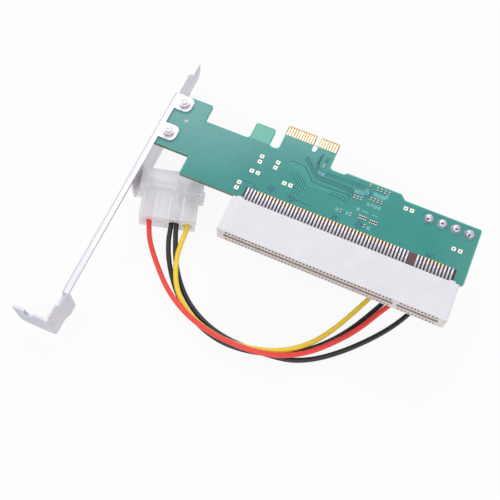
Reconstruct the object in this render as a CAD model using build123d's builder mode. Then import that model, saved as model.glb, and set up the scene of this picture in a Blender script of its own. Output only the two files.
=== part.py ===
from build123d import *
from math import cos, pi, radians, sin, tan
import os

os.makedirs("parts", exist_ok=True)

# A PCIe x1 riser card lying component side down, millimetres, +Z up.
# Card coordinates: u runs along the board from the bracket, v towards the PCIe fingers,
# w out of the solder side. Their zero is the first PCI contact, on the solder face.

# How the card lies: bracket edge on the surface, other end held up by its power lead
card_tilt = 5.0

# Board
board_thickness = 1.57
board_right = 82.6
board_bottom = -3.6
board_top_right = 19.6
board_top_middle = 21.6
board_top_left = 20.6
step_left = (29.4, 30.4)
step_right = (51.5, 53.5)
arm_top = 28.0
arm_right = -26.4
arm_bottom = 4.4
arm_foot = -25.8
small_radius = 0.5
corner_radius = 1.0
inner_radius = 1.4
locating_tab_left = -8.4
locating_tab_top = 28.1
tab_gap = 3.85

# PCIe x1 edge
finger_pitch = 1.0
finger_width = 0.7
finger_length = 4.0
finger_first = 4.03
fingers_before_key = 11
fingers_after_key = 7
key_positions = 2
key_width = 1.9
key_depth = 7.1
tab_margin = 0.7
tab_top = 32.1
tab_chamfer = 0.6
tab_bevel = 0.35
finger_setback = 0.02
plating = 0.05

# PCI slot, its contacts straddling the board's lower edge
pci_pitch = 1.27
pci_positions = 62
pci_key_positions = (49, 50)
slot_length = 84.6
slot_face = -19.3
slot_back = -5.15
slot_thickness = 7.3
slot_corner = 0.6
card_slot_length = 79.6
card_slot_width = 1.9
card_slot_depth = 9.6
key_web = 1.5
key_web_place = 62.95
boss_diameter = 2.4
boss_inset = 2.6
boss_reach = 0.7
boss_step = 0.2
pocket_width = 0.78
pocket_nose = 1.7
pocket_slope = 1.8
window_inner = 2.0
window_outer = 3.0
channel_half = 1.3
channel_start = 0.6
channel_sink = 0.05
contact_width = 0.6
contact_thickness = 0.25
contact_tip = 0.6
contact_knee = 2.25
contact_setback = 2.0
contact_straight = 1.1
contact_slope = 2.7
tail_reach = 1.2

# Plated pads with holes, in pairs along the card's width or length
pad_size = 1.5
pad_hole = 0.65
pads = [
    (-0.9, 15.3), (-0.8, 12.9), (5.5, 15.3), (5.4, 12.9), (-1.95, 8.2), (0.4, 8.2), (-4.3, 2.0),
    (-4.35, -0.4), (10.8, 8.25), (13.2, 8.3), (54.7, 16.7), (57.0, 16.7), (75.3, 8.5), (77.7, 8.5),
]
small_hole = 1.1
small_hole_place = (-32.9, 17.6)

# Bracket, one folded sheet
sheet = 0.86
bend_radius = 0.4
bracket_clearance = 0.1
web_face = -42.07
web_depth = 18.42
web_foot = -11.8
web_shoulder = 33.5
bracket_height = 120.02
flange_face = -72.6
tongue_near = -5.3
tongue_far = -12.8
tongue_shoulder = 41.3
tongue_chamfer = 1.5
tongue_chamfer_length = 2.4
upper_edge = -0.95
lip_width = 2.62
lip_top = 27.4
strip_depth = 6.4
plate_top = -59.4
plate_slant_start = -63.2
plate_slant_end = -66.2
flange_width = 15.6
relief_top = -61.5
relief_bottom = -66.4
relief_depth = 0.65
flange_length = 13.1
flange_corner = 2.6
notch_width = 3.4
notch_depth = 3.9
notch_place = -49.0
ear_reach = 8.85
ear_width = 6.7
ear_radius = 2.4
ear_places = (24.0, 10.4)
ear_hole_u = -36.5
collar_diameter = 3.9
collar_height = 1.1
screw_diameter = 2.5
screw_clearance = 0.15
screw_head = 5.0
screw_head_height = 1.9
screw_head_rounding = 0.6
screw_tip = 0.35
recess_width = 0.7
recess_length = 2.6
recess_depth = 0.9

# Power header under the board, its plug and the four pins
pin_pitch = 5.08
pin_count = 4
header_u = 71.2
header_v = 16.1
header_offset = -0.4
header_width = 23.0
header_depth = 9.4
header_height = 11.2
header_floor = 2.4
header_wall = 0.9
header_chamfer = 2.4
pin_diameter = 2.1
pin_point = 0.4
pin_tail = 1.5
pin_tail_reach = 1.0
pin_hole = 1.9
pin_mouth_gap = 1.0
solder_diameter = 3.5
solder_height = 1.5
solder_taper = 7.0
solder_rounding = 1.2
socket_base = 0.7
plug_clearance = 0.1
plug_floor_gap = 0.6
plug_reach = 8.3
cavity_diameter = 3.5
socket_diameter = 3.2
socket_length = 8.2
crimp_diameter = 2.5
crimp_recess = 1.1
crimp_wall = 0.2

# Free cable plug, lying on the surface in front of the bracket
cable_plug_place = (17.03, -18.14)
cable_plug_turn = 17.5
cable_plug_length = 19.6
cable_body_length = 11.9
cable_body_width = 21.1
cable_body_thickness = 8.6
cable_shroud_width = 23.6
cable_shroud_thickness = 10.2
cable_shroud_chamfer = 3.0
cable_shroud_wall = 1.1
cable_cavity = 4.1
cable_ridge_start = 10.0
cable_ridge_width = 24.9
cable_ridge_height = 3.2
cable_ridge_length = 4.4
cable_crimp_depth = 4.03
cable_crimp_length = 3.0
cable_pin_stop = 13.0
cable_pin_gap = 1.5
cable_single = (0, 3)
cable_double = 2

# Wires, lengths from the bracket's resting edge, at the height of their centre
wire_diameter = 1.9
wire_bend = 0.45
wires = {
    "wire_red": [
        (8.56, -16.62, 5.1), (10.36, -22.34, 5.1), (14.6, -27.2, 4.6), (21, -34.2, 3.8),
        (28.4, -41.2, 3.7), (37.4, -46.4, 4.6), (47.3, -49.3, 5.3), (56.4, -50.1, 6.3),
        (65.4, -49.7, 6.9), (74.7, -47.2, 6), (83.4, -41.6, 4.5), (91.2, -33.2, 3.1),
        (97.8, -24.2, 2.4), (103.2, -13.7, 2.4), (109.2, -3.4, 2.9), (115.8, 5, 3.1),
        (120, 11.9, 3.1), (120.85, 16.1, 5.7), (120.64, 16.1, 8.11),
    ],
    "wire_black_outer": [
        (17.32, -13.85, 5.1), (19.13, -19.57, 5.1), (20.2, -23.6, 3.9), (23.3, -29.8, 1.7),
        (28.9, -37.2, 1), (35.4, -43.3, 1), (43.6, -47.5, 1), (52.5, -49.8, 1),
        (61.8, -49.3, 1), (71, -46.7, 1), (79.9, -42.1, 1), (87.9, -35, 1), (94.6, -26.2, 1),
        (99.6, -16.8, 1), (104.2, -7, 1), (108.2, 2.4, 1), (110.2, 8.5, 1), (110.6, 13, 1),
        (110.81, 16.1, 3.9), (110.52, 16.1, 7.22),
    ],
    "wire_black_inner": [
        (19.17, -13.27, 5.1), (20.98, -18.99, 5.1), (22.7, -22.6, 3.9), (25.6, -28.7, 1.7),
        (30.5, -35.5, 1), (37, -41.5, 1), (44.8, -45.7, 1.5), (53.4, -48.1, 2.5),
        (62.1, -48.4, 3.1), (70.5, -47.7, 3.1), (79.2, -45.9, 2.2), (87.4, -41.2, 1.2),
        (95.4, -34.2, 1), (102.8, -26, 1), (109.2, -17.4, 1), (114, -8.4, 1), (116.6, 0.6, 1),
        (116.4, 7, 1), (115.8, 12.9, 1), (115.91, 16.1, 3.9), (115.58, 16.1, 7.66),
    ],
    "wire_yellow": [
        (23.09, -12.03, 5.1), (24.9, -17.75, 5.1), (24.9, -22, 4.8), (25.9, -28.6, 4),
        (29.2, -36.6, 3.3), (34.6, -42.8, 3.1), (42.2, -47.2, 3.1), (51.2, -49.2, 3.6),
        (59.9, -49.4, 4.9), (68.5, -47.6, 5.2), (76.8, -43.5, 4.5), (83.8, -36.8, 3),
        (89.2, -28.4, 1.8), (93.5, -19.4, 1), (97.3, -10.8, 1), (100.9, -1.5, 1),
        (104.2, 6, 1), (105.6, 12.9, 1), (105.72, 16.1, 3.8), (105.46, 16.1, 6.78),
    ],
}

# Component side: bridge chip, memory, regulator, cans and chip capacitors
chip_gap = 0.1
bridge_place = (24.0, 11.6)
bridge_size = 14.0
bridge_height = 1.4
bridge_lead_pitch = 0.5
bridge_lead_count = 25
bridge_lead_width = 0.22
lead_reach = 1.0
lead_thickness = 0.15
memory_place = (-10.0, 8.0)
memory_length = 4.9
memory_width = 3.9
memory_height = 1.5
memory_lead_pitch = 1.27
memory_lead_width = 0.42
memory_lead_count = 4
regulator_place = (41.0, 14.0)
regulator_length = 6.5
regulator_width = 3.5
regulator_height = 1.6
regulator_lead_pitch = 2.3
regulator_lead_width = 0.7
regulator_tab_width = 3.0
can_places = ((49.0, 13.2), (49.0, 6.2), (41.5, 6.2))
can_diameter = 6.3
can_height = 7.7
can_base = 6.6
can_base_height = 0.9
crystal_place = (-18.0, 14.0)
crystal_length = 11.4
crystal_width = 4.6
crystal_height = 3.5
crystal_rounding = 2.2

# Chip parts: body length between end caps, width, height
chip_length = 1.2
chip_width = 0.6
chip_height = 0.4
chip_cap = 0.3
chip_pitch = 0.8
array_cap_width = 0.5
resistor_places = (
    [(21.4, 20.7), (39.8, 20.2)]
    + [(42.8 + 1.48 * k, 19.8) for k in range(4)]
    + [(36.0 + 1.3 * k, 13.6) for k in range(3)]
    + [(41.9 + 1.3 * k, 15.1) for k in range(4)]
    + [(33.6, 6.0), (37.3, 6.1), (43.3, 3.9)]
)
array_places = ((41.7, 6.7), (45.8, 6.4))
array_elements = 4
capacitor_places = (
    [(15.0, 4.0 + 2.2 * k) for k in range(5)] + [(34.0, 4.0 + 2.6 * k) for k in range(6)]
)

# Derived sizes
pci_centre = pci_pitch * (pci_positions - 1) / 2
board_middle = -board_thickness / 2
rest_w = sheet - web_depth
finger_count = fingers_before_key + fingers_after_key
last_finger = finger_first + finger_pitch * (finger_count + key_positions - 1)
tab_left = finger_first - tab_margin
tab_right = last_finger + tab_margin
key_place = finger_first + finger_pitch * (fingers_before_key - 1 + (key_positions + 1) / 2)
web_inside = web_face + sheet
board_left = web_inside + bend_radius + bracket_clearance
tongue_tip = flange_face + bracket_height
flange_end = web_face - flange_length
header_bottom = -board_thickness - header_height
plug_end = header_bottom - plug_reach
pin_places = [header_u + pin_pitch * (k - (pin_count - 1) / 2) for k in range(pin_count)]
cable_axis = cable_shroud_thickness / 2


def row_x(u, w):
    """Distance from the resting edge along the surface, of a point of the card"""
    return (u - web_face) * cos(radians(card_tilt)) - (w - rest_w) * sin(radians(card_tilt))


def row_z(u, w):
    """Height above the surface of a point of the card"""
    return (u - web_face) * sin(radians(card_tilt)) + (w - rest_w) * cos(radians(card_tilt))


# The origin is under the middle of everything that isn't on the lead
far_left = row_x(flange_end + small_radius, upper_edge - small_radius) - small_radius
far_right = row_x(header_u + header_width / 2, header_bottom)
edge_x = -(far_left + far_right) / 2
edge_y = -(tongue_tip + flange_face) / 2
card = Plane(
    origin=(edge_x + row_x(0, 0), edge_y, row_z(0, 0)),
    x_dir=(cos(radians(card_tilt)), 0, sin(radians(card_tilt))),
    z_dir=(-sin(radians(card_tilt)), 0, cos(radians(card_tilt))),
)


def level(w):
    """Plane parallel to the board at w, its axes u and v"""
    return card.offset(w)


def below(w):
    """Plane at w that looks down from the component side, its axes u and -v"""
    return Plane(origin=card.from_local_coords((0, 0, w)), x_dir=card.x_dir, z_dir=-card.z_dir)


def across(u, w=0, v=0):
    """Plane square to the card's length, its axes v and w, counted from the place given"""
    return Plane(origin=card.from_local_coords((u, v, w)), x_dir=card.y_dir, z_dir=card.x_dir)


def facing(v, w=0):
    """Plane square to the card's width, its axes u and w, looking away from the fingers"""
    return Plane(origin=card.from_local_coords((0, v, w)), x_dir=card.x_dir, z_dir=-card.y_dir)


def card_height(shape):
    """Height w of the middle of an edge or face"""
    return round(card.to_local_coords(shape.center()).Z, 3)


def outline(corners):
    """Closed outline through (x, y, radius) corners"""
    return FilletPolyline(
        *[(x, y) for x, y, _ in corners], radius=[r for _, _, r in corners], close=True
    )


# Circuit board
with BuildPart() as circuit_board:
    with BuildSketch(level(-board_thickness)):
        with BuildLine():
            outline([
                (arm_foot, board_bottom, small_radius),
                (board_right, board_bottom, corner_radius),
                (board_right, board_top_right, corner_radius),
                (step_right[1], board_top_right, small_radius),
                (step_right[0], board_top_middle, small_radius),
                (step_left[1], board_top_middle, small_radius),
                (step_left[0], board_top_left, small_radius),
                (tab_right, board_top_left, inner_radius),
                (tab_right, tab_top - tab_chamfer, 0),
                (tab_right - tab_chamfer, tab_top, 0),
                (tab_left + tab_chamfer, tab_top, 0),
                (tab_left, tab_top - tab_chamfer, 0),
                (tab_left, board_top_left, inner_radius),
                (tab_left - tab_gap, board_top_left, inner_radius),
                (tab_left - tab_gap, locating_tab_top, corner_radius),
                (locating_tab_left, locating_tab_top, corner_radius),
                (locating_tab_left, board_top_left, inner_radius),
                (arm_right, board_top_left, small_radius),
                (arm_right, arm_top, small_radius),
                (board_left, arm_top, small_radius),
                (board_left, arm_bottom, small_radius),
                (arm_foot, arm_bottom, small_radius),
            ])
        make_face()
        with Locations((key_place, tab_top)):
            Rectangle(key_width, 2 * key_depth - key_width, mode=Mode.SUBTRACT)
        with Locations((key_place, tab_top - key_depth + key_width / 2)):
            Circle(key_width / 2, mode=Mode.SUBTRACT)
        with Locations(*pads):
            Circle(pad_hole / 2, mode=Mode.SUBTRACT)
        with Locations(small_hole_place):
            Circle(small_hole / 2, mode=Mode.SUBTRACT)
        with Locations(*[(u, header_v) for u in pin_places]):
            Circle(pin_hole / 2, mode=Mode.SUBTRACT)
        with Locations(*[(ear_hole_u, v) for v in ear_places]):
            Circle(screw_diameter / 2 + screw_clearance, mode=Mode.SUBTRACT)
    extrude(amount=board_thickness)
    tip_edges = circuit_board.faces().filter_by(Axis.Y).group_by(Axis.Y)[-1].edges()
    long_tip_edges = tip_edges.filter_by(lambda edge: edge.length > 2 * board_thickness)
    chamfer(long_tip_edges, length=tab_bevel)

finger_places = [
    finger_first + finger_pitch * (k if k < fingers_before_key else k + key_positions)
    for k in range(finger_count)
]
finger_tip = tab_top - tab_bevel - finger_setback
with BuildPart() as edge_fingers:
    with BuildSketch(level(0), level(-board_thickness - plating)):
        with Locations(*[(u, finger_tip - finger_length / 2) for u in finger_places]):
            Rectangle(finger_width, finger_length)
    extrude(amount=plating)

# Each pad is a square with a plated rim on both faces
with BuildPart() as plated_pads:
    with BuildSketch(level(0), level(-board_thickness - plating)):
        with Locations(*pads):
            Rectangle(pad_size, pad_size)
            Circle(pad_hole / 2, mode=Mode.SUBTRACT)
    extrude(amount=plating)

# PCI slot: body with end bosses and the card slot with its key. Its two rows of tails take the
# board's edge between them and hold the slot in front of it.
contact_places = [pci_pitch * k for k in range(pci_positions) if k not in pci_key_positions]
board_half = board_thickness / 2
slot_end = slot_face + card_slot_depth
pocket_end = slot_back + channel_sink
pocket = [
    (slot_face, window_inner),
    (slot_face + pocket_nose, board_half - channel_sink),
    (pocket_end, board_half - channel_sink),
    (pocket_end, channel_half),
    (slot_end + channel_start, channel_half),
    (slot_end + channel_start - pocket_slope, window_outer),
    (slot_face, window_outer),
]
with BuildPart() as slot_housing:
    with BuildSketch(facing(slot_back, board_middle)):
        with Locations((pci_centre, 0)):
            RectangleRounded(slot_length, slot_thickness, slot_corner)
    extrude(amount=slot_back - slot_face)
    with BuildSketch(facing(slot_back + boss_reach, board_middle)):
        with Locations(
            (pci_centre - slot_length / 2 + boss_inset, 0), (pci_centre + slot_length / 2 - boss_inset, 0)
        ):
            RectangleRounded(boss_diameter, slot_thickness - 2 * boss_step, slot_corner)
    extrude(amount=boss_reach)
    # Card slot, interrupted by the key web
    with BuildSketch(facing(slot_face, board_middle)):
        with Locations((pci_centre, 0)):
            Rectangle(card_slot_length, card_slot_width)
        with Locations((key_web_place, 0)):
            Rectangle(key_web, card_slot_width, mode=Mode.SUBTRACT)
    extrude(amount=-card_slot_depth, mode=Mode.SUBTRACT)
    # Contact pockets in two rows, from the windows in the face to the channels at the back
    with BuildSketch(*[across(u - pocket_width / 2, board_middle) for u in contact_places]):
        with BuildLine():
            Polyline(*pocket, close=True)
        make_face()
        mirror(about=Plane.XZ)
    extrude(amount=pocket_width, mode=Mode.SUBTRACT)

# Contacts: tail on the board's face, riser, and a spring that leans into the card slot
contact_root = slot_end + contact_straight
contact_turn = contact_root - contact_slope
contact_end = slot_face + contact_setback
contact = [
    (tail_reach, board_half),
    (contact_root, board_half),
    (contact_turn, contact_knee),
    (contact_end, contact_tip),
    (contact_end, contact_tip + contact_thickness),
    (contact_turn, contact_knee + contact_thickness),
    (contact_root, board_half + contact_thickness),
    (tail_reach, board_half + contact_thickness),
]


def contact_row(side):
    """Contacts on the solder side, or with side -1 on the component side"""
    with BuildPart() as row:
        with BuildSketch(*[across(u - contact_width / 2, board_middle) for u in contact_places]):
            with BuildLine():
                Polyline(*[(v, side * w) for v, w in contact], close=True)
            make_face()
        extrude(amount=contact_width)
    return row


slot_contacts_solder_side = contact_row(1)
slot_contacts_component_side = contact_row(-1)

# Bracket: web, lip with two ears, and flange, joined by rounded folds
outer_bend = bend_radius + sheet
flange_fold = flange_face + outer_bend
lip_edge = web_face + lip_width
ear_end = web_face + ear_reach
with BuildPart() as bracket:
    # Web, from the tongue's tip down to the strip and the flange's end plate
    with BuildSketch(across(web_face)):
        with BuildLine():
            outline([
                (tongue_tip, tongue_near, small_radius),
                (tongue_shoulder, tongue_near, small_radius),
                (tongue_shoulder + tongue_near - upper_edge, upper_edge, small_radius),
                (flange_fold, upper_edge, 0),
                (flange_fold, sheet - flange_width, 0),
                (plate_slant_end, sheet - flange_width, small_radius),
                (plate_slant_start, rest_w, small_radius),
                (plate_top, rest_w, corner_radius),
                (plate_top, sheet - strip_depth, small_radius),
                (web_foot, sheet - strip_depth, small_radius),
                (web_foot, rest_w, corner_radius),
                (web_shoulder, rest_w, small_radius),
                (web_shoulder + tongue_far - rest_w, tongue_far, small_radius),
                (tongue_tip - tongue_chamfer, tongue_far, 0),
                (tongue_tip, tongue_far + tongue_chamfer_length, 0),
            ])
        make_face()
        with Locations(((relief_top + relief_bottom) / 2, upper_edge)):
            Rectangle(relief_top - relief_bottom, 2 * relief_depth, mode=Mode.SUBTRACT)
    extrude(amount=sheet)
    # Fold between the web and the lip, above the relief notch and below it
    with BuildSketch(facing(lip_top)):
        with BuildLine():
            outline([
                (lip_edge, 0, 0),
                (web_inside, 0, bend_radius),
                (web_inside, -2 * sheet - bend_radius, 0),
                (web_face, -2 * sheet - bend_radius, 0),
                (web_face, sheet, outer_bend),
                (lip_edge, sheet, 0),
            ])
        make_face()
    extrude(amount=lip_top - relief_top)
    with BuildSketch(across(web_face)):
        with BuildLine():
            outline([
                (relief_bottom, upper_edge, 0),
                (relief_bottom, sheet, corner_radius),
                (flange_fold, sheet, 0),
                (flange_fold, upper_edge, 0),
            ])
        make_face()
    extrude(amount=sheet)
    # Two ears that reach over the board, with holes drawn into collars
    with BuildSketch(level(0)):
        for place in ear_places:
            with BuildLine():
                outline([
                    (lip_edge - sheet, place - ear_width / 2, 0),
                    (ear_end, place - ear_width / 2, ear_radius),
                    (ear_end, place + ear_width / 2, ear_radius),
                    (lip_edge - sheet, place + ear_width / 2, 0),
                ])
            make_face()
    extrude(amount=sheet)
    with BuildSketch(level(0)):
        with Locations(*[(ear_hole_u, v) for v in ear_places]):
            Circle(collar_diameter / 2)
    extrude(amount=sheet + collar_height)
    with BuildSketch(level(0)):
        with Locations(*[(ear_hole_u, v) for v in ear_places]):
            Circle(screw_diameter / 2)
    extrude(amount=sheet + collar_height, mode=Mode.SUBTRACT)
    # Flange, turned outwards over a rounded fold, with its open screw notch
    with BuildSketch(level(sheet - flange_width)):
        with BuildLine():
            outline([
                (web_inside, flange_fold + sheet, 0),
                (web_inside, flange_face, outer_bend),
                (web_face - outer_bend, flange_face, 0),
                (web_face - outer_bend, flange_face + sheet, 0),
                (web_face, flange_face + sheet, bend_radius),
                (web_face, flange_fold + sheet, 0),
            ])
        make_face()
    extrude(amount=upper_edge - sheet + flange_width)
    with BuildSketch(facing(flange_face + sheet)):
        with BuildLine():
            outline([
                (web_face - bend_radius, upper_edge, 0),
                (web_face - bend_radius, sheet - flange_width, 0),
                (flange_end, sheet - flange_width, flange_corner),
                (flange_end, upper_edge, small_radius),
            ])
        make_face()
        with Locations((notch_place, upper_edge)):
            Rectangle(notch_width, 2 * notch_depth - notch_width, mode=Mode.SUBTRACT)
        with Locations((notch_place, upper_edge - notch_depth + notch_width / 2)):
            Circle(notch_width / 2, mode=Mode.SUBTRACT)
    extrude(amount=sheet)

# Screws, from the component side through the board into the collars
screw_top = sheet + collar_height + screw_tip
with BuildPart() as bracket_screws:
    with BuildSketch(below(-board_thickness)):
        with Locations(*[(ear_hole_u, -v) for v in ear_places]):
            Circle(screw_head / 2)
    extrude(amount=screw_head_height)
    fillet(bracket_screws.edges().group_by(card_height)[0], radius=screw_head_rounding)
    with BuildSketch(level(-board_thickness)):
        with Locations(*[(ear_hole_u, v) for v in ear_places]):
            Circle(screw_diameter / 2)
    extrude(amount=board_thickness + screw_top)
    with BuildSketch(below(-board_thickness - screw_head_height + recess_depth)):
        with Locations(*[(ear_hole_u, -v) for v in ear_places]):
            Rectangle(recess_length, recess_width)
            Rectangle(recess_width, recess_length)
    extrude(amount=recess_depth, mode=Mode.SUBTRACT)


def keyed_outline(width, depth, cut):
    """Oblong with two corners cut off along its -y side, so that a plug goes in one way round"""
    return outline([
        (-width / 2, depth / 2, 0),
        (width / 2, depth / 2, 0),
        (width / 2, cut - depth / 2, 0),
        (width / 2 - cut, -depth / 2, 0),
        (cut - width / 2, -depth / 2, 0),
        (-width / 2, cut - depth / 2, 0),
    ])


# Power header: shroud on a floor, open downwards, with its four pins
pin_spots = [(u, -header_v) for u in pin_places]


def header_plane(w):
    """Plane at w that looks down from the middle of the header"""
    middle = card.from_local_coords((header_u, header_v + header_offset, w))
    return Plane(origin=middle, x_dir=card.x_dir, z_dir=-card.z_dir)


shroud_floor = -board_thickness - header_floor
shroud_inside = (header_width - 2 * header_wall, header_depth - 2 * header_wall)
with BuildPart() as power_header:
    with BuildSketch(header_plane(-board_thickness)):
        Rectangle(header_width, header_depth)
    extrude(amount=header_height)
    with BuildSketch(header_plane(shroud_floor)):
        with BuildLine():
            keyed_outline(*shroud_inside, header_chamfer)
        make_face()
    extrude(amount=header_height - header_floor, mode=Mode.SUBTRACT)
    with BuildSketch(below(-board_thickness)):
        with Locations(*pin_spots):
            Circle(pin_diameter / 2)
    extrude(amount=header_floor, mode=Mode.SUBTRACT)

pin_end = header_bottom + pin_mouth_gap
with BuildPart() as header_pins:
    with BuildSketch(below(-board_thickness)):
        with Locations(*pin_spots):
            Circle(pin_diameter / 2)
    extrude(amount=-board_thickness - pin_end)
    chamfer(header_pins.edges().group_by(card_height)[0], length=pin_point)
    with BuildSketch(level(-board_thickness)):
        with Locations(*[(u, header_v) for u in pin_places]):
            Circle(pin_tail / 2)
    extrude(amount=board_thickness + pin_tail_reach)

# Solder joint around each pin's tail: a hollow-sided cone with a rounded top
with BuildPart() as header_solder_joints:
    with BuildSketch(level(0)):
        with Locations(*[(u, header_v) for u in pin_places]):
            Circle(solder_diameter / 2)
    extrude(amount=solder_height, taper=solder_taper)
    fillet(header_solder_joints.edges().group_by(card_height)[-1], radius=solder_rounding)
    with BuildSketch(level(0)):
        with Locations(*[(u, header_v) for u in pin_places]):
            Circle(pin_tail / 2)
    extrude(amount=pin_tail_reach, mode=Mode.SUBTRACT)

# Plug on the header, with a socket terminal round each pin
plug_top = shroud_floor - plug_floor_gap
plug_inside = (shroud_inside[0] - 2 * plug_clearance, shroud_inside[1] - 2 * plug_clearance)
with BuildPart() as header_plug:
    with BuildSketch(header_plane(plug_top)):
        with BuildLine():
            keyed_outline(*plug_inside, header_chamfer)
        make_face()
    extrude(amount=plug_top - plug_end)
    with BuildSketch(below(plug_top)):
        with Locations(*pin_spots):
            Circle(cavity_diameter / 2)
    extrude(amount=plug_top - plug_end, mode=Mode.SUBTRACT)

crimp_end = plug_end + crimp_recess
socket_bottom = plug_top - socket_length
with BuildPart() as header_plug_sockets:
    with BuildSketch(below(plug_top)):
        with Locations(*pin_spots):
            Circle(socket_diameter / 2)
    extrude(amount=socket_length)
    with BuildSketch(below(plug_top)):
        with Locations(*pin_spots):
            Circle(pin_diameter / 2 + plug_clearance)
    extrude(amount=socket_length - socket_base, mode=Mode.SUBTRACT)
    with BuildSketch(below(socket_bottom)):
        with Locations(*pin_spots):
            Circle(crimp_diameter / 2)
    extrude(amount=socket_bottom - crimp_end)

# Free cable plug: x across the plug, y up, z towards its mouth
mouth_way = Vector(-sin(radians(cable_plug_turn)), cos(radians(cable_plug_turn)), 0)
cable_rear = Vector(edge_x + cable_plug_place[0], edge_y + cable_plug_place[1], cable_axis)
cable_places = [pin_pitch * ((pin_count - 1) / 2 - k) for k in range(pin_count)]


def plug_plane(depth):
    """Plane square to the cable plug's length, at a distance from its rear face"""
    across_way = mouth_way.cross(Vector(0, 0, 1)) * -1
    return Plane(origin=cable_rear + mouth_way * depth, x_dir=across_way, z_dir=mouth_way)


with BuildPart() as cable_plug:
    with BuildSketch(plug_plane(0)):
        RectangleRounded(cable_body_width, cable_body_thickness, corner_radius)
    extrude(amount=cable_body_length)
    with BuildSketch(plug_plane(cable_body_length)):
        with BuildLine():
            keyed_outline(cable_shroud_width, cable_shroud_thickness, cable_shroud_chamfer)
        make_face()
    extrude(amount=cable_plug_length - cable_body_length)
    with BuildSketch(plug_plane(cable_ridge_start)):
        RectangleRounded(cable_ridge_width, cable_ridge_height, small_radius)
    extrude(amount=cable_ridge_length)
    with BuildSketch(plug_plane(cable_pin_stop)):
        with BuildLine():
            keyed_outline(
                cable_shroud_width - 2 * cable_shroud_wall,
                cable_shroud_thickness - 2 * cable_shroud_wall,
                cable_shroud_chamfer,
            )
        make_face()
    extrude(amount=cable_plug_length - cable_pin_stop, mode=Mode.SUBTRACT)
    with BuildSketch(plug_plane(0)):
        with Locations(*[(x, 0) for x in cable_places]):
            Circle(cable_cavity / 2)
    extrude(amount=cable_pin_stop, mode=Mode.SUBTRACT)

# Pin terminals: crimp for one wire or two, barrel, and pin; the second cavity is empty
cable_pin_spots = [(cable_places[k], 0) for k in (*cable_single, cable_double)]
cable_barrel_depth = cable_crimp_depth + cable_crimp_length
with BuildPart() as cable_plug_pins:
    with BuildSketch(plug_plane(cable_crimp_depth)):
        with Locations(*[(cable_places[k], 0) for k in cable_single]):
            Circle(crimp_diameter / 2)
        with Locations((cable_places[cable_double], 0)):
            SlotOverall(2 * wire_diameter + crimp_wall, wire_diameter + crimp_wall)
    extrude(amount=cable_crimp_length)
    with BuildSketch(plug_plane(cable_barrel_depth)):
        with Locations(*cable_pin_spots):
            Circle(cavity_diameter / 2)
    extrude(amount=cable_pin_stop - cable_barrel_depth)
    with BuildSketch(plug_plane(cable_pin_stop)):
        with Locations(*cable_pin_spots):
            Circle(pin_diameter / 2)
    extrude(amount=cable_plug_length - cable_pin_gap - cable_pin_stop)


# Wires: straight runs joined by arcs as large as the runs allow
def bend_radii(route):
    """Radius for each inner point, from the shorter of its two runs and its turn"""
    radii = []
    for before, point, after in zip(route, route[1:], route[2:]):
        arriving = point - before
        leaving = after - point
        turn = radians(arriving.get_angle(leaving))
        radii.append(wire_bend * min(arriving.length, leaving.length) / tan(turn / 2))
    return radii


def wire(name, places):
    """One wire's tube along its route"""
    route = [Vector(edge_x + x, edge_y + y, z) for x, y, z in places]
    radii = bend_radii(route)
    print(name, "radii", [round(radius, 1) for radius in radii])
    with BuildPart() as tube:
        with BuildLine() as path:
            FilletPolyline(*route, radius=radii)
        with BuildSketch(Plane(origin=path.line @ 0, z_dir=path.line % 0)):
            Circle(wire_diameter / 2)
        sweep(path=path.line)
    length = path.wire().length
    section = pi * wire_diameter**2 / 4
    print(name, "length", round(length, 1))
    print(name, "volume", round(tube.part.volume, 1), "expected", round(section * length, 1))
    return tube


wire_tubes = {name: wire(name, places) for name, places in wires.items()}


# Parts on the component side
def lead_planes(place, reach, pitch, count, width, turns):
    """Section planes of rows of leads, x outwards from the body's edge and y up, one row a turn"""
    planes = []
    middle = card.from_local_coords((*place, -board_thickness))
    for turn in turns:
        out = card.x_dir.rotate(Axis((0, 0, 0), card.z_dir), turn)
        along = out.cross(card.z_dir)
        for k in range(count):
            start = pitch * (k - (count - 1) / 2) - width / 2
            planes.append(Plane(origin=middle + out * reach + along * start, x_dir=out, z_dir=along))
    return planes


def leads(planes, width, height):
    """Bent leads from the middle of a body's side down to the board"""
    top = -chip_gap - height / 2
    with BuildPart() as bent:
        with BuildSketch(*planes):
            with BuildLine():
                Polyline(
                    (0, top),
                    (lead_reach / 2, 0),
                    (lead_reach, 0),
                    (lead_reach, -lead_thickness),
                    (lead_reach / 2, -lead_thickness),
                    (0, top - 2 * lead_thickness),
                    close=True,
                )
            make_face()
        extrude(amount=width)
    return bent


def chip_body(places, length, width, height, gap, rounding=0.0):
    """Blocks under the component side, a gap away from it"""
    with BuildPart() as body:
        with BuildSketch(below(-board_thickness - gap)):
            with Locations(*[(u, -v) for u, v in places]):
                if rounding:
                    RectangleRounded(length, width, rounding)
                else:
                    Rectangle(length, width)
        extrude(amount=height)
    return body


quarter_turns = (0, 90, 180, 270)
half_turns = (90, 270)
bridge_chip = chip_body([bridge_place], bridge_size, bridge_size, bridge_height, chip_gap)
bridge_chip_leads = leads(
    lead_planes(
        bridge_place, bridge_size / 2, bridge_lead_pitch, bridge_lead_count, bridge_lead_width, quarter_turns
    ),
    bridge_lead_width,
    bridge_height,
)
config_memory = chip_body([memory_place], memory_length, memory_width, memory_height, chip_gap)
memory_leads = leads(
    lead_planes(
        memory_place, memory_width / 2, memory_lead_pitch, memory_lead_count, memory_lead_width, half_turns
    ),
    memory_lead_width,
    memory_height,
)
regulator = chip_body([regulator_place], regulator_length, regulator_width, regulator_height, chip_gap)
regulator_leads = leads(
    lead_planes(
        regulator_place, regulator_width / 2, regulator_lead_pitch, 3, regulator_lead_width, (270,)
    )
    + lead_planes(regulator_place, regulator_width / 2, 0, 1, regulator_tab_width, (90,)),
    regulator_lead_width,
    regulator_height,
)
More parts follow.
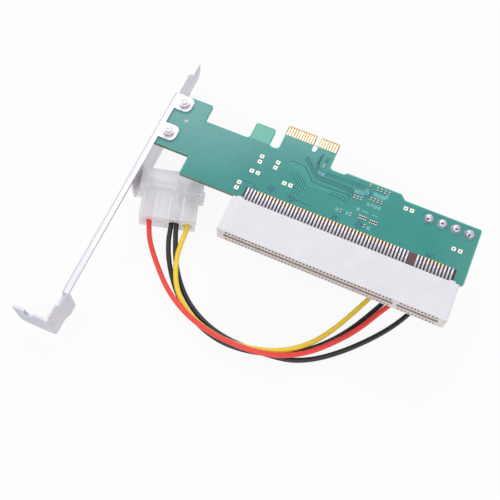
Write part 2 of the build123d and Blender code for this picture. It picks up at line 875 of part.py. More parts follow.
can_bases = chip_body(can_places, can_base, can_base, can_base_height, 0, small_radius)
with BuildPart() as electrolytic_cans:
    with BuildSketch(below(-board_thickness - can_base_height)):
        with Locations(*[(u, -v) for u, v in can_places]):
            Circle(can_diameter / 2)
    extrude(amount=can_height - can_base_height)
    fillet(electrolytic_cans.edges().group_by(card_height)[0], radius=small_radius)
crystal = chip_body([crystal_place], crystal_length, crystal_width, crystal_height, 0, crystal_rounding)


def chip_parts(planes, places, elements=1):
    """Bodies and end caps of chip parts that stand across the board"""
    body_length = chip_length - 2 * chip_cap
    body_width = chip_width + chip_pitch * (elements - 1)
    columns = [chip_pitch * (k - (elements - 1) / 2) for k in range(elements)]
    with BuildPart() as bodies:
        with BuildSketch(*planes):
            with Locations(*places):
                Rectangle(body_width, body_length)
        extrude(amount=chip_height)
    with BuildPart() as ends:
        with BuildSketch(*planes):
            for x, y in places:
                with Locations(*[(x + column, y) for column in columns]):
                    with Locations((0, (chip_length - chip_cap) / 2), (0, (chip_cap - chip_length) / 2)):
                        Rectangle(chip_width if elements == 1 else array_cap_width, chip_cap)
        extrude(amount=chip_height)
    return bodies, ends


chip_resistors, resistor_ends = chip_parts([level(0)], resistor_places)
resistor_arrays, array_ends = chip_parts([level(0)], array_places, array_elements)
chip_capacitors, capacitor_ends = chip_parts(
    [below(-board_thickness)], [(u, -v) for u, v in capacitor_places]
)

pieces = {
    "circuit_board": circuit_board,
    "edge_fingers": edge_fingers,
    "plated_pads": plated_pads,
    "slot_housing": slot_housing,
    "slot_contacts_solder_side": slot_contacts_solder_side,
    "slot_contacts_component_side": slot_contacts_component_side,
    "bracket": bracket,
    "bracket_screws": bracket_screws,
    "power_header": power_header,
    "header_pins": header_pins,
    "header_solder_joints": header_solder_joints,
    "header_plug": header_plug,
    "header_plug_sockets": header_plug_sockets,
    "cable_plug": cable_plug,
    "cable_plug_pins": cable_plug_pins,
    "bridge_chip": bridge_chip,
    "bridge_chip_leads": bridge_chip_leads,
    "config_memory": config_memory,
    "memory_leads": memory_leads,
    "regulator": regulator,
    "regulator_leads": regulator_leads,
    "can_bases": can_bases,
    "electrolytic_cans": electrolytic_cans,
    "crystal": crystal,
    "chip_resistors": chip_resistors,
    "resistor_ends": resistor_ends,
    "resistor_arrays": resistor_arrays,
    "array_ends": array_ends,
    "chip_capacitors": chip_capacitors,
    "capacitor_ends": capacitor_ends,
    **wire_tubes,
}
for name, piece in pieces.items():
    piece.part.label = name
    export_step(piece.part, f"parts/{name}.step")
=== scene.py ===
from functools import reduce
from math import cos, radians, sin

import bpy
from mathutils import Matrix, Vector


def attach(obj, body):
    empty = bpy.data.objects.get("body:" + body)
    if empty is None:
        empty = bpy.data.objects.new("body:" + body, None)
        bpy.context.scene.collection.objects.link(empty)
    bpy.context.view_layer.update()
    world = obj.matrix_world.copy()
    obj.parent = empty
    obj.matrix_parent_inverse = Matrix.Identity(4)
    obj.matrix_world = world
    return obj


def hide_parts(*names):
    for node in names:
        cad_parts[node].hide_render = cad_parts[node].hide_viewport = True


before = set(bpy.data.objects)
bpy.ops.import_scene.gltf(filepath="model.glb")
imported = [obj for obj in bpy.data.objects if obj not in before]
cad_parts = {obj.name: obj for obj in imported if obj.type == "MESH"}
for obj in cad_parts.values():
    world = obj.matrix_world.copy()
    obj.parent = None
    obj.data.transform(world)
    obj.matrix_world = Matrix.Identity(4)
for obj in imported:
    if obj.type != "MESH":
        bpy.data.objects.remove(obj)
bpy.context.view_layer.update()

# The card lies five degrees out of level. Its own measures are millimetres from the first
# slot contact on the solder face: u along the board, v towards the edge fingers, w outwards.
TILT = radians(5)
RESTING_EDGE = Vector((-54.711, 12.59, 0))
FIRST_CONTACT_ALONG = 42.07
FIRST_CONTACT_OUT = 17.56


def card_point(u, v, w):
    """Where a point of the card is in the frame, in metres"""
    along, out = u + FIRST_CONTACT_ALONG, w + FIRST_CONTACT_OUT
    x = along * cos(TILT) - out * sin(TILT)
    z = along * sin(TILT) + out * cos(TILT)
    return (RESTING_EDGE + Vector((x, v, z))) / 1000


CARD = (
    Matrix.Translation(card_point(0, 0, 0))
    @ Matrix.Rotation(-TILT, 4, "Y")
    @ Matrix.Scale(0.001, 4)
)

# Camera, as the photograph was taken
bpy.ops.object.camera_add(
    location=(0.011612, -0.112522, 0.273908),
    rotation=(radians(21.8663), radians(-6.0951), radians(23.5556)),
)
camera = bpy.context.object
camera.data.lens = 56.298
camera.data.sensor_width = 36
camera.data.clip_start = 0.01
bpy.context.scene.camera = camera

# Leads, from the cable plug to the header: each one's length in metres, and its places in
# millimetres from the bracket's resting edge
WIRE_RADIUS = 0.95
LEADS = {
    "red": (0.1631, [
        (8.85, -16.53, 5.1), (11.5, -22.2, 5.1), (14.6, -27.6, 4.6), (21, -34.4, 3.8),
        (28.4, -41.2, 3.7), (37.4, -46.4, 4.6), (47.3, -49.3, 5.3), (56.4, -50.1, 6.3),
        (65.4, -49.7, 6.9), (74.7, -47.2, 6), (83.4, -41.6, 4.5), (91.2, -33.2, 3.1),
        (97.8, -24.2, 2.4), (103.2, -13.7, 2.4), (109.2, -3.4, 2.9), (115.8, 5, 3.1),
        (120, 11.9, 3.1), (120.85, 16.1, 5.7), (120.64, 16.1, 8.11),
    ]),
    "black_outer": (0.1543, [
        (17.32, -13.85, 5.1), (19.13, -19.57, 5.1), (20.2, -23.6, 3.9), (23.3, -29.8, 1.7),
        (28.9, -37.2, 1), (35.4, -43.3, 1), (43.6, -47.5, 1), (52.5, -49.8, 1),
        (61.8, -49.3, 1), (71, -46.7, 1), (79.9, -42.1, 1), (87.9, -35, 1), (94.6, -26.2, 1),
        (99.6, -16.8, 1), (104.2, -7, 1), (108.2, 2.4, 1), (110.2, 8.5, 1), (110.6, 13, 1),
        (110.81, 16.1, 3.9), (110.52, 16.1, 7.22),
    ]),
    "black_inner": (0.1595, [
        (19.17, -13.27, 5.1), (20.98, -18.99, 5.1), (22.7, -22.6, 3.9), (25.6, -28.7, 1.7),
        (30.5, -35.5, 1), (37, -41.5, 1), (44.8, -45.7, 1.5), (53.4, -48.1, 2.5),
        (62.1, -48.4, 3.1), (70.5, -47.7, 3.1), (79.2, -45.9, 2.2), (87.4, -41.2, 1.2),
        (95.4, -34.2, 1), (102.8, -26, 1), (109.2, -17.4, 1), (114, -8.4, 1), (116.6, 0.6, 1),
        (116.4, 7, 1), (115.8, 12.9, 1), (115.91, 16.1, 3.9), (115.58, 16.1, 7.66),
    ]),
    "yellow": (0.1496, [
        (23.09, -12.03, 5.1), (24.9, -17.75, 5.1), (24.9, -22, 4.8), (25.9, -28.6, 4),
        (29.2, -36.6, 3.3), (34.6, -42.8, 3.1), (42.2, -47.2, 3.1), (51.2, -49.2, 3.6),
        (59.9, -49.4, 4.9), (68.5, -47.6, 5.2), (76.8, -43.5, 4.5), (83.8, -36.8, 3),
        (89.2, -28.4, 1.8), (93.5, -19.4, 1), (97.3, -10.8, 1), (100.9, -1.5, 1),
        (104.2, 6, 1), (105.6, 12.9, 1), (105.72, 16.1, 3.8), (105.46, 16.1, 6.78),
    ]),
}


def lead(colour, length, places):
    """One insulated wire of the lead, smooth along its places"""
    curve = bpy.data.curves.new(f"lead_{colour}", "CURVE")
    curve.dimensions = "3D"
    curve.bevel_depth = WIRE_RADIUS
    curve.bevel_resolution = 5
    curve.use_fill_caps = True
    points = [(RESTING_EDGE + Vector(place)) / 1000 for place in reversed(places)]
    spline = curve.splines.new("NURBS")
    spline.points.add(len(points) - 1)
    for knot, point in zip(spline.points, points):
        knot.co = (*point, 1)
        knot.radius = 0.001
    spline.order_u = 3
    spline.use_endpoint_u = True
    spline.resolution_u = 8
    wire = bpy.data.objects.new(f"lead_{colour}", curve)
    bpy.context.collection.objects.link(wire)
    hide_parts(f"wire_{colour}")
    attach(wire, "root")
    return wire


lead_wires = {colour: lead(colour, *route) for colour, route in LEADS.items()}


# Finishes
def rgb(red, green, blue):
    """A colour given as it looks on a screen, 0 to 255"""
    steps = [channel / 255 for channel in (red, green, blue)]
    return (*[s / 12.92 if s < 0.04045 else ((s + 0.055) / 1.055) ** 2.4 for s in steps], 1)


class Field:
    """A socket in a shader, so that a pattern is written as sums"""

    def __init__(self, shader, socket):
        self.shader = shader
        self.socket = socket

    def maths(self, operation, *terms):
        return self.shader.node("ShaderNodeMath", {"operation": operation}, dict(enumerate(terms)))

    def __add__(self, other):
        return self.maths("ADD", self, other)

    def __sub__(self, other):
        return self.maths("SUBTRACT", self, other)

    def __rsub__(self, other):
        return self.maths("SUBTRACT", other, self)

    def __mul__(self, other):
        return self.maths("MULTIPLY", self, other)

    def __mod__(self, other):
        return self.maths("FLOORED_MODULO", self, other)

    def __abs__(self):
        return self.maths("ABSOLUTE", self)

    __radd__ = __add__
    __rmul__ = __mul__

    def larger(self, other):
        return self.maths("MAXIMUM", self, other)

    def climb(self, start, end):
        """0 at start and 1 at end, straight between them"""
        inputs = {"Value": self, "From Min": start, "From Max": end}
        return self.shader.node("ShaderNodeMapRange", {}, inputs)

    def within(self, low, high, edge):
        """1 between low and high, fading to 0 over the edge's width"""
        return self.climb(low - edge, low) * self.climb(high + edge, high)


class Shader:
    """The nodes of a material, or of the air round the object"""

    def __init__(self, owner):
        owner.use_nodes = True
        self.tree = owner.node_tree

    def node(self, kind, settings, inputs, output=0):
        """Adds a node and gives the socket that comes out of it"""
        made = self.tree.nodes.new(kind)
        for name, value in settings.items():
            setattr(made, name, value)
        for name, value in inputs.items():
            self.feed(made.inputs[name], value)
        return Field(self, made.outputs[output])

    def feed(self, socket, value):
        if isinstance(value, Field):
            self.tree.links.new(value.socket, socket)
        else:
            socket.default_value = value

    def seen(self):
        """1 for what the camera sees, directly, mirrored or through something clear"""
        return reduce(Field.larger, [
            self.node("ShaderNodeLightPath", {}, {}, f"Is {kind} Ray")
            for kind in ("Camera", "Glossy", "Transmission")
        ])


class Finish(Shader):
    """A material of the card, its pattern laid out in the card's own millimetres"""

    def __init__(self, name, colour, roughness, **settings):
        self.material = bpy.data.materials.new(name)
        super().__init__(self.material)
        object_point = self.node("ShaderNodeTexCoord", {}, {}, "Object")
        self.place = self.node("ShaderNodeMapping", {"vector_type": "TEXTURE"}, {
            "Vector": object_point,
            "Location": card_point(0, 0, 0),
            "Rotation": (0, -TILT, 0),
            "Scale": (0.001, 0.001, 0.001),
        })
        self.along, self.over, self.out = [
            self.node("ShaderNodeSeparateXYZ", {}, {"Vector": self.place}, axis) for axis in "XYZ"
        ]
        self.tone = colour
        self.surface({"Base Color": colour, "Roughness": roughness})
        self.surface({name.replace("_", " ").title(): value for name, value in settings.items()})

    def surface(self, sockets):
        for name, value in sockets.items():
            self.feed(self.tree.nodes["Principled BSDF"].inputs[name], value)

    def mix(self, first, second, share):
        settings = {"data_type": "RGBA"}
        return self.node("ShaderNodeMix", settings, {0: share, 6: first, 7: second}, 2)

    def paint(self, colour, share):
        """Lays a colour over what is there, as thick as the share says"""
        self.tone = self.mix(self.tone, colour, share)
        self.surface({"Base Color": self.tone})

    def noise(self, size, detail=2.0, stretch=(1, 1, 1)):
        """Cloudy pattern with blots of about that size in millimetres"""
        spread = [1 / (size * axis) for axis in stretch]
        point = self.node(
            "ShaderNodeVectorMath", {"operation": "MULTIPLY"}, {0: self.place, 1: spread},
        )
        inputs = {"Vector": point, "Scale": 1.0, "Detail": detail}
        return self.node("ShaderNodeTexNoise", {}, inputs)

    def square_from(self, place):
        """Square of the distance from a (u, v) place"""
        aside, up = self.along - place[0], self.over - place[1]
        return aside * aside + up * up

    def spots(self, places, reach):
        """1 at the middle of each (u, v) place, fading to 0 at its reach"""
        return reduce(Field.larger, [
            self.square_from(place).climb(reach ** 2, reach ** 2 / 4) for place in places
        ])

    def bump(self, height, depth):
        """Relief, its depth in millimetres where the height goes from 0 to 1"""
        inputs = {"Height": height, "Distance": depth / 1000, "Strength": 1.0}
        self.surface({"Normal": self.node("ShaderNodeBump", {}, inputs)})


# (u, v) places that the finishes follow
VIA_CLUSTERS = [
    (34.6, 14.2), (41.4, 3.8), (32.6, 2.6), (40.0, 16.6), (15.4, 3.4), (7.2, 4.0), (68.4, 2.2),
]
SINGLE_VIAS = [
    (-7.9, 10.6), (-8.7, 9.5), (-6.9, 11.2), (-9.8, 7.6), (-15.2, 13.6), (-19.0, 17.8),
    (-4.6, 17.0), (-12.0, 2.6), (3.4, 10.6), (8.6, 12.4), (25.8, 6.6), (28.4, 9.2),
    (49.6, 12.0), (52.4, 6.4), (62.0, 7.2),
]
# Where painted shade makes the mask darkest
LEAST_SHEEN = [(14.0, 2.0)]
JOINT_DARK_REFLECTIONS = [(63.24, 15.18), (68.52, 15.54), (73.76, 15.41), (78.71, 15.04)]
SCREWS = [(-36.5, 24.0), (-36.5, 10.4)]
HOLE_BETWEEN_EARS = (-32.9, 17.6)

CONTACT_ROW = (-1.0, 78.7)
KEY_GAP = (61.6, 64.6)
GOLD_TIPS = (3.5, 55.0)
SHORT_ROW_GOLD_TIPS = (67.0, 74.5)
POCKETS_ALONG, POCKETS_OVER, POCKETS_OUT = (-1.1, 78.6), (-19.2, -10.0), (-3.8, 2.2)


def plastic(name, colour, shade, roughness, grain=0.004, **settings):
    """Moulded plastic: faint clouding and a fine grain"""
    finish = Finish(name, colour, roughness, **settings)
    finish.paint(shade, finish.noise(6.0).climb(0.3, 0.7))
    finish.surface({"Roughness": finish.noise(2.5) * 0.12 + (roughness - 0.06)})
    finish.bump(finish.noise(0.25, 3.0), grain)
    return finish


def moulding():
    """White slot moulding, with painted shade making its face warmer and its pockets beige-brown
    """
    finish = plastic(
        "slot_plastic", rgb(233, 232, 237), rgb(227, 226, 232), 0.42,
        subsurface_weight=0.4, subsurface_radius=(0.002, 0.002, 0.002),
    )
    # Painted shade: a warmer, darker tint on the open face and a beige-brown one in the contact
    # pockets
    open_face = finish.over.climb(-19.1, -19.25)
    finish.paint(rgb(228, 222, 219), open_face)
    pockets = finish.over.within(*POCKETS_OVER, 0.05) * finish.out.within(*POCKETS_OUT, 0.05)
    finish.paint(rgb(194, 180, 170), pockets * finish.along.within(*POCKETS_ALONG, 0.05))
    return finish


def metal(
    name, colour, shade, roughness, streaks=(1, 1, 1), grain=0.003, size=1.2, spread=(0.35, 0.65),
):
    """Bare or plated metal: uneven tone, and a roughness that follows it"""
    finish = Finish(name, colour, roughness, metallic=1.0)
    blots = finish.noise(size, 4.0, streaks)
    finish.paint(shade, blots.climb(*spread))
    finish.surface({"Roughness": blots * 0.2 + (roughness - 0.1)})
    finish.bump(finish.noise(size / 4, 3.0, streaks), grain)
    return finish


def solder_mask():
    """Glass-epoxy board under teal mask: hatched ground plane, bare edges, brown contact strip"""
    finish = Finish("solder_mask", rgb(30, 138, 130), 0.34)
    along, over, out = finish.along, finish.over, finish.out

    # The mask varies in clouds; painted sheen makes it palest towards the bracket's upper corner
    # and lighter at the header end, and painted shade makes it darkest round (14, 2)
    finish.paint(rgb(40, 145, 138), finish.noise(22.0, 1.0).climb(0.35, 0.65))
    finish.paint(rgb(108, 171, 168), (over * 0.037 - along * 0.0155).climb(0.187, 1.387))
    finish.paint(rgb(74, 148, 138), along.climb(68.0, 82.0) * 0.8)
    finish.paint(rgb(12, 136, 130), finish.spots(LEAST_SHEEN, 26.0) * 0.6)

    # The ground plane's hatch shows through it, most of all towards the bracket
    steep = abs((along * 1.06 - over * 0.29) % 1 - 0.5)
    level = abs((along * 0.41 + over * 0.79) % 1 - 0.5)
    line = steep.climb(0.3, 0.08).larger(level.climb(0.28, 0.08) * 0.8)
    plane = 0.2 + along.climb(14.0, -2.0) * 0.8
    hatch = line * plane
    finish.paint(rgb(24, 110, 110), hatch * 0.3)
    weave = finish.noise(0.5, 2.0, (3, 1, 1))
    finish.paint(rgb(50, 140, 122), weave.climb(0.5, 0.75) * 0.4)

    blotches = finish.noise(0.9, 2.0).climb(0.4, 0.55)
    finish.paint(rgb(24, 100, 118), finish.spots(VIA_CLUSTERS, 2.0) * blotches)
    finish.paint(rgb(26, 96, 96), finish.spots(SINGLE_VIAS, 0.42) * 0.5)

    locating_tab = over.climb(20.9, 21.2) * along.climb(0.2, 0.0) * along.climb(-9.5, -9.2)
    finish.paint(rgb(104, 184, 164), locating_tab)

    # Bare laminate between the contacts' tails, with painted shade making the narrow gaps far
    # darker than the key gap, and on the bevel under the edge fingers
    strip = along.within(*CONTACT_ROW, 0.15) * over.within(-4.0, 1.1, 0.2)
    laminate_and_shade = finish.mix(rgb(48, 36, 46), rgb(98, 70, 66), along.within(*KEY_GAP, 0.1))
    finish.paint(laminate_and_shade, strip)
    finish.paint(rgb(150, 108, 64), over.climb(27.6, 27.8) * along.climb(2.8, 3.0))

    # Edges: brown and sawn on the near side, with the dark olive in it painted shade under the
    # board's edge; washed with mask on the others
    edge = out.within(-1.5, -0.07, 0.03)
    sawn_and_shaded = finish.mix(rgb(84, 118, 104), rgb(136, 118, 92), finish.noise(0.4, 2.0, (6, 6, 1)))
    near_side = over.climb(9.0, 6.0) * along.climb(80.0, 78.0)
    finish.paint(finish.mix(rgb(84, 164, 148), sawn_and_shaded, near_side), edge)

    # The hole between the ears: a darker ring, and within it near-white painted light on the
    # hole's wall, standing for the floor seen through it
    hole = finish.square_from(HOLE_BETWEEN_EARS)
    finish.paint(rgb(150, 142, 122), hole.climb(0.58, 0.5))
    finish.paint(rgb(255, 252, 248), hole.climb(0.38, 0.33))

    gloss = finish.noise(3.0) * 0.1 + 0.28
    finish.surface({"Roughness": gloss + strip * 0.2 + edge * 0.2})
    finish.bump(hatch * 0.5 + weave * 0.4, 0.02)
    return finish


def contact_metal():
    """Tinned tails with gold where they run out of the solder, and gold springs in the slot"""
    finish = Finish("contact_metal", rgb(228, 225, 232), 0.5)
    finish.paint(rgb(196, 192, 200), finish.noise(1.1).climb(0.4, 0.62))
    # Painted shade: the tails darken towards the slot
    finish.paint(rgb(162, 159, 168), finish.over.climb(-0.6, -3.4) * 0.9)
    worn = finish.along.within(*GOLD_TIPS, 1.5).larger(
        finish.along.within(*SHORT_ROW_GOLD_TIPS, 1.0)
    )
    tip = finish.over.climb(-0.3, 0.3) * (0.5 + finish.noise(6.0) * 0.6) * worn
    spring = finish.over.climb(-8.0, -9.0)
    finish.paint(rgb(250, 200, 154), tip.larger(spring))
    finish.surface({
        "Metallic": 1.0 - spring * 0.7,
        "Roughness": finish.noise(0.8, 4.0) * 0.2 + 0.4,
    })
    finish.bump(finish.noise(0.2, 3.0), 0.003)
    return finish


def solder_metal():
    """Dull solder, with a painted dark reflection beside each header pin's tip"""
    finish = metal(
        "solder", rgb(212, 209, 217), rgb(166, 162, 174), 0.34, grain=0.02, size=1.4,
    )
    # Painted dark reflection on each joint, beside the pin's tip
    finish.paint(rgb(40, 36, 44), finish.spots(JOINT_DARK_REFLECTIONS, 0.5))
    return finish


def tail_metal():
    """Solder drawn out along the contacts' tails, with painted shade darkening it towards the slot
    """
    finish = metal("tail_solder", rgb(222, 219, 226), rgb(190, 186, 194), 0.5, size=0.8)
    finish.paint(rgb(160, 157, 166), finish.over.climb(-0.6, -3.4) * 0.9)
    return finish


def plating():
    """Zinc plating drawn along the sheet, with painted shade round the screws and a painted bluish
    shade on the flange
    """
    finish = metal("bracket_plating", rgb(222, 218, 225), rgb(208, 204, 212), 0.5, (1, 14, 1))
    # Painted shade: the flange, which faces another way, is bluer and darker
    flange = finish.along.climb(-43.0, -45.0)
    finish.paint(rgb(204, 206, 218), flange)
    # Painted shade on the ears: mottled patches round the screws and a darker ring at each collar
    patches = finish.noise(1.6, 3.0).climb(0.35, 0.6)
    finish.paint(rgb(180, 172, 174), finish.spots(SCREWS, 4.6) * patches * 0.35)
    finish.paint(rgb(140, 132, 136), finish.spots(SCREWS, 2.6) * 0.15)
    return finish


def finger_metal():
    """Gold over nickel: pale along the fingers, deeper at their tips"""
    finish = metal(
        "finger_gold", rgb(248, 236, 214), rgb(236, 214, 176), 0.6, (1, 8, 1),
        size=0.6, spread=(0.4, 0.65),
    )
    finish.paint(rgb(214, 176, 108), finish.over.climb(31.1, 31.4))
    return finish


def vinyl(name, colour, shade):
    """Wire insulation: soft sheen and faint handling marks"""
    finish = Finish(name, colour, 0.34, coat_weight=0.15, coat_roughness=0.25)
    marks = finish.noise(1.6, 3.0)
    finish.paint(shade, marks.climb(0.35, 0.8))
    finish.surface({"Roughness": marks * 0.2 + 0.26})
    finish.bump(finish.noise(0.5, 2.0), 0.006)
    return finish


def nylon():
    """Natural nylon, cloudy and half clear"""
    finish = Finish("nylon", rgb(255, 253, 255), 0.34, alpha=0.54)
    clouds = finish.noise(4.0, 2.0)
    finish.paint(rgb(250, 247, 254), clouds.climb(0.35, 0.7))
    finish.surface({"IOR": 1.42, "Roughness": clouds * 0.2 + 0.22})
    finish.bump(finish.noise(0.6, 2.0), 0.01)
    return finish


solder = solder_metal()
DRESS = {
    solder_mask(): ("circuit_board",),
    contact_metal(): ("slot_contacts_solder_side", "slot_contacts_component_side"),
    finger_metal(): ("edge_fingers",),
    metal("pad_tin", rgb(246, 238, 228), rgb(232, 220, 208), 0.6, size=0.7): (
        "plated_pads", "array_ends",
    ),
    metal("end_cap_tin", rgb(232, 216, 212), rgb(214, 194, 190), 0.45, size=0.4): (
        "resistor_ends", "capacitor_ends",
    ),
    solder: ("header_solder_joints",),
    plating(): ("bracket",),
    metal("screw_steel", rgb(192, 187, 190), rgb(158, 153, 157), 0.4, size=0.6): (
        "bracket_screws", "bridge_chip_leads", "memory_leads", "regulator_leads", "crystal",
    ),
    metal("terminal_brass", rgb(222, 205, 160), rgb(198, 176, 124), 0.35, size=0.8): (
        "header_pins", "header_plug_sockets",
    ),
    metal("pin_tin_plate", rgb(240, 236, 230), rgb(222, 218, 212), 0.4, size=0.8): (
        "cable_plug_pins",
    ),
    metal("can_aluminium", rgb(214, 214, 217), rgb(198, 198, 203), 0.28, (1, 1, 10)): (
        "electrolytic_cans",
    ),
    moulding(): ("slot_housing",),
    plastic("header_plastic", rgb(232, 229, 226), rgb(222, 219, 214), 0.4): ("power_header",),
    plastic("chip_black", rgb(38, 38, 40), rgb(48, 48, 50), 0.55, 0.01): (
        "bridge_chip", "config_memory", "regulator",
    ),
    plastic("base_black", rgb(30, 30, 32), rgb(40, 40, 42), 0.5): ("can_bases",),
    plastic("resistor_glaze", rgb(34, 30, 36), rgb(52, 44, 52), 0.25): (
        "chip_resistors", "resistor_arrays",
    ),
    plastic("capacitor_ceramic", rgb(150, 118, 92), rgb(168, 136, 106), 0.4): (
        "chip_capacitors",
    ),
    nylon(): ("header_plug", "cable_plug"),
}
for finish, names in DRESS.items():
    for name in names:
        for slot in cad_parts[name].material_slots:
            slot.material = finish.material

VINYLS = {
    "red": vinyl("red_vinyl", rgb(248, 66, 56), rgb(242, 60, 50)),
    "yellow": vinyl("yellow_vinyl", rgb(255, 222, 58), rgb(250, 212, 50)),
    "black": vinyl("black_vinyl", rgb(17, 19, 29), rgb(27, 29, 41)),
}
for place, wire in lead_wires.items():
    colour = place.split("_")[0]
    wire.data.materials.append(VINYLS[colour].material)


# Small pieces on the board, modelled in its millimetres and then laid on it
def deselect():
    bpy.ops.object.select_all(action="DESELECT")


def settle(piece):
    """Puts a piece's place into its mesh"""
    deselect()
    piece.select_set(True)
    bpy.context.view_layer.objects.active = piece
    bpy.ops.object.transform_apply(location=True, rotation=True, scale=True)


def bevel_edges(piece, width, chosen):
    """Bevels the edges that are chosen by the heights of their two ends"""
    bpy.ops.object.mode_set(mode="EDIT")
    bpy.ops.mesh.select_all(action="DESELECT")
    bpy.ops.mesh.select_mode(type="EDGE")
    bpy.ops.object.mode_set(mode="OBJECT")
    for edge in piece.data.edges:
        edge.select = chosen([piece.data.vertices[k].co.z for k in edge.vertices])
    bpy.ops.object.mode_set(mode="EDIT")
    bpy.ops.mesh.bevel(offset=width, segments=2, affect="EDGES")
    bpy.ops.object.mode_set(mode="OBJECT")


def block(length, width, height, bevel):
    """Block on the origin's plane, all but its lowest edges bevelled"""
    deselect()
    bpy.ops.mesh.primitive_cube_add(
        size=1, location=(0, 0, height / 2), scale=(length, width, height),
    )
    piece = bpy.context.object
    settle(piece)
    bevel_edges(piece, bevel, lambda ends: max(ends) > height / 2)
    return piece


def disc(radius, height, bevel, sides=16):
    """Round piece on the origin's plane, its upper rim bevelled"""
    deselect()
    bpy.ops.mesh.primitive_cylinder_add(
        vertices=sides, radius=radius, depth=height, location=(0, 0, height / 2),
    )
    piece = bpy.context.object
    settle(piece)
    bevel_edges(piece, bevel, lambda ends: min(ends) > height / 2)
    return piece


def lay_out(name, pattern, places, finish):
    """Copies of a piece at (u, v, w) places of the card, joined into one piece"""
    copies = []
    for place in places:
        copy = pattern.copy()
        copy.data = pattern.data.copy()
        bpy.context.collection.objects.link(copy)
        copy.matrix_world = CARD @ Matrix.Translation(place)
        copies.append(copy)
    bpy.data.objects.remove(pattern)
    deselect()
    for copy in copies:
        copy.select_set(True)
    bpy.context.view_layer.objects.active = copies[0]
    bpy.ops.object.join()
    piece = bpy.context.object
    bpy.ops.object.transform_apply(location=True, rotation=True, scale=True)
    piece.name = name
    piece.data.materials.clear()
    piece.data.materials.append(finish.material)
    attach(piece, "root")


# Resin in the holes of the plated pads
PADS = [
    (-0.9, 15.3), (-0.8, 12.9), (5.5, 15.3), (5.4, 12.9), (-1.95, 8.2), (0.4, 8.2), (-4.3, 2.0),
    (-4.35, -0.4), (10.8, 8.25), (13.2, 8.3), (54.7, 16.7), (57.0, 16.7), (75.3, 8.5), (77.7, 8.5),
]
RESIN_FOOT = -1.485
hole_brown = plastic("hole_resin", rgb(140, 78, 56), rgb(120, 66, 48), 0.5)
resin = disc(radius=0.34, height=1.4, bevel=0.05)
lay_out("pad_hole_resin", resin, [(u, v, RESIN_FOOT) for u, v in PADS], hole_brown)

# Solder along each contact's tail
SLOT_PITCH = 1.27
KEYED_CONTACTS = (49, 50)
TAIL_MIDDLE = -1.25
tail = block(length=0.6, width=4.3, height=0.14, bevel=0.08)
tail_places = [
    (SLOT_PITCH * k, TAIL_MIDDLE, 0) for k in range(62) if k not in KEYED_CONTACTS
]
lay_out("tail_solder", tail, tail_places, tail_metal())

# Solder run out round the header's joints
HEADER_MIDDLE, HEADER_ROW, PIN_PITCH = 71.2, 16.1, 5.08
collar = disc(radius=1.9, height=0.32, bevel=0.3, sides=32)
joint_places = [
    (HEADER_MIDDLE + PIN_PITCH * k, HEADER_ROW, 0) for k in (-1.5, -0.5, 0.5, 1.5)
]
lay_out("joint_collars", collar, joint_places, solder)

# Copper tracks under the mask: a run of (u, v) corners, how many lie side by side, and the
# step from each to the next
ALONE = (0, 0)
DARK_TRACKS = [
    ([(19.0, 24.6), (18.8, 20.2), (19.6, 18.2), (21.5, 17.5), (39.3, 18.3)], 3, (0.35, 0.52)),
    ([(14.0, 20.7), (19.2, 15.6), (21.5, 14.6), (34.1, 14.6)], 4, (0.15, 0.55)),
    ([(21.4, 24.9), (21.2, 22.3)], 2, (0.7, 0.0)),
    ([(16.6, 3.5), (23.4, 3.5)], 1, ALONE),
    ([
        (9.4, 17.5), (10.5, 18.2), (15.3, 17.6), (20.0, 12.9), (26.7, 12.9), (33.0, 13.4),
        (34.8, 11.7),
    ], 1, ALONE),
    ([(11.2, 13.2), (15.2, 10.3), (14.7, 4.5)], 4, (0.95, 0.35)),
    ([(27.0, 10.7), (32.1, 10.9), (34.0, 9.6)], 2, (0.4, 1.0)),
    ([(-4.0, 3.2), (0.6, 3.4), (3.0, 1.6)], 1, ALONE),
]
PALE_TRACKS = [
    ([
        (9.6, 16.9), (10.6, 17.6), (15.1, 17.0), (19.6, 12.2), (26.7, 12.2), (32.9, 12.8),
        (34.2, 11.4),
    ], 1, ALONE),
    ([
        (10.0, 16.0), (15.1, 16.2), (19.2, 11.3), (26.6, 11.5), (32.0, 11.6), (33.2, 10.6),
    ], 1, ALONE),
    ([(11.7, 13.4), (15.7, 10.5), (15.2, 4.5)], 4, (0.95, 0.35)),
    ([(21.6, 17.75), (39.2, 18.55)], 2, (0.3, 0.52)),
    ([(14.2, 20.3), (19.3, 15.3), (21.6, 14.3), (33.9, 14.3)], 2, (0.15, 1.1)),
]
BOARD_MARGIN = [([
    (82.35, -3.3), (82.35, 19.3), (53.6, 19.3), (51.4, 21.35), (30.5, 21.35), (29.3, 20.35),
    (23.5, 20.35), (23.5, 27.6), (3.55, 27.6), (3.55, 20.35), (-0.75, 20.35), (-0.75, 27.85),
    (-8.15, 27.85), (-8.15, 20.35), (-26.65, 20.35), (-26.65, 27.75), (-40.4, 27.75),
    (-40.4, 4.65), (-25.5, 4.65), (-25.5, -3.3),
], 1, ALONE)]
TRACK_FLATNESS = 0.2


def tracks(name, runs, width, finish):
    """Flat ridges along runs of corners on the board's face"""
    curve = bpy.data.curves.new(name, "CURVE")
    curve.dimensions = "3D"
    curve.bevel_depth = width / 2
    curve.bevel_resolution = 1
    for corners, count, (aside, up) in runs:
        for k in range(count):
            spline = curve.splines.new("POLY")
            spline.points.add(len(corners) - 1)
            for knot, (u, v) in zip(spline.points, corners):
                knot.co = (u + aside * k, v + up * k, 0, 1)
    piece = bpy.data.objects.new(name, curve)
    bpy.context.collection.objects.link(piece)
    deselect()
    piece.select_set(True)
    bpy.context.view_layer.objects.active = piece
    bpy.ops.object.convert(target="MESH")
    piece = bpy.context.object
    piece.matrix_world = CARD @ Matrix.Diagonal((1, 1, TRACK_FLATNESS, 1))
    settle(piece)
    piece.data.materials.append(finish.material)
    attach(piece, "root")


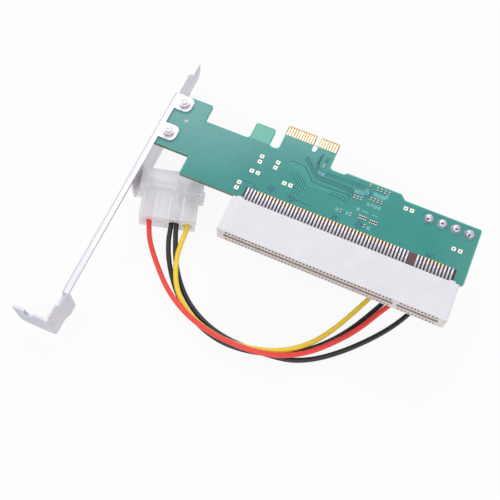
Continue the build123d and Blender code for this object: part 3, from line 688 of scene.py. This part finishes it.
dark_mask = plastic("dark_track_mask", rgb(12, 78, 92), rgb(20, 90, 102), 0.34)
pale_mask = plastic("pale_track_mask", rgb(88, 192, 172), rgb(74, 178, 160), 0.34)
tracks("dark_tracks", DARK_TRACKS, 0.26, dark_mask)
tracks("pale_tracks", PALE_TRACKS, 0.22, pale_mask)
tracks("board_margin", BOARD_MARGIN, 0.4, pale_mask)

# Printed ticks beside the chip parts, in pairs, and dashes above the resistor arrays
TICKS = [
    (21.0, 17.7), (22.4, 17.5), (35.9, 15.9), (37.2, 16.1), (38.5, 16.3), (39.4, 17.9),
    (39.9, 16.9), (42.6, 17.6), (43.7, 17.4), (44.9, 17.4), (46.1, 17.3), (47.0, 18.2),
    (41.8, 12.7), (43.2, 13.0), (44.5, 12.7), (45.9, 12.8), (32.1, 6.2), (36.0, 6.3),
    (39.1, 9.4), (44.9, 3.7),
]
DASHES = [(41.2, 9.4, 0), (42.4, 9.4, 0), (44.9, 9.3, 0), (46.1, 9.2, 0)]
PRINT_WIDTH, PRINT_HEIGHT, PRINT_BEVEL = 0.3, 0.03, 0.01
print_ink = plastic("print_ink", rgb(146, 208, 212), rgb(128, 196, 200), 0.5)
tick = block(PRINT_WIDTH, 1.5, PRINT_HEIGHT, PRINT_BEVEL)
tick_places = [(u + side * 0.3, v, 0) for u, v in TICKS for side in (-1, 1)]
lay_out("printed_ticks", tick, tick_places, print_ink)
dash = block(0.9, PRINT_WIDTH, PRINT_HEIGHT, PRINT_BEVEL)
lay_out("printed_dashes", dash, DASHES, print_ink)

# Floor: nearly white where the camera sees it, and pale and matt for the light
bpy.ops.mesh.primitive_plane_add(size=4)
floor = bpy.context.object
floor.name = "floor"
floor_material = bpy.data.materials.new("pale_floor")
cover = Shader(floor_material)
matt = cover.tree.nodes["Principled BSDF"]
cover.feed(matt.inputs["Base Color"], (0.9, 0.9, 0.9, 1))
cover.feed(matt.inputs["Roughness"], 0.9)
cover.feed(matt.inputs["Specular IOR Level"], 0.1)
glow = cover.node("ShaderNodeEmission", {}, {"Color": (1, 1, 1, 1), "Strength": 1.0})
blend = cover.node("ShaderNodeMixShader", {}, {
    0: cover.seen() * 0.9,
    1: Field(cover, matt.outputs[0]),
    2: glow,
})
cover.feed(cover.tree.nodes["Material Output"].inputs["Surface"], blend)
floor.data.materials.append(floor_material)

# Air: white where the camera sees it, and dimmer as light
AIR_LIGHT = 0.6
world = bpy.data.worlds.new("studio")
bpy.context.scene.world = world
air = Shader(world)
background = air.tree.nodes["Background"]
air.feed(background.inputs["Color"], (1, 1, 1.02, 1))
air.feed(background.inputs["Strength"], air.seen() * (1 - AIR_LIGHT) + AIR_LIGHT)


def softbox(name, place, size, power):
    """Square soft light that points at the middle of the object"""
    bpy.ops.object.light_add(type="AREA", location=place)
    lamp = bpy.context.object
    lamp.name = name
    lamp.data.size = size
    lamp.data.energy = power
    lamp.rotation_euler = (-Vector(place)).to_track_quat("-Z", "Y").to_euler()


softbox("key_softbox", (-0.3, 0.6, 0.6), size=0.6, power=2.4)
softbox("side_softbox", (-0.5, -0.3, 0.5), size=0.7, power=0.8)
softbox("front_softbox", (0.2, -0.5, 0.6), size=0.6, power=1.4)

bpy.context.scene.view_settings.view_transform = "Standard"
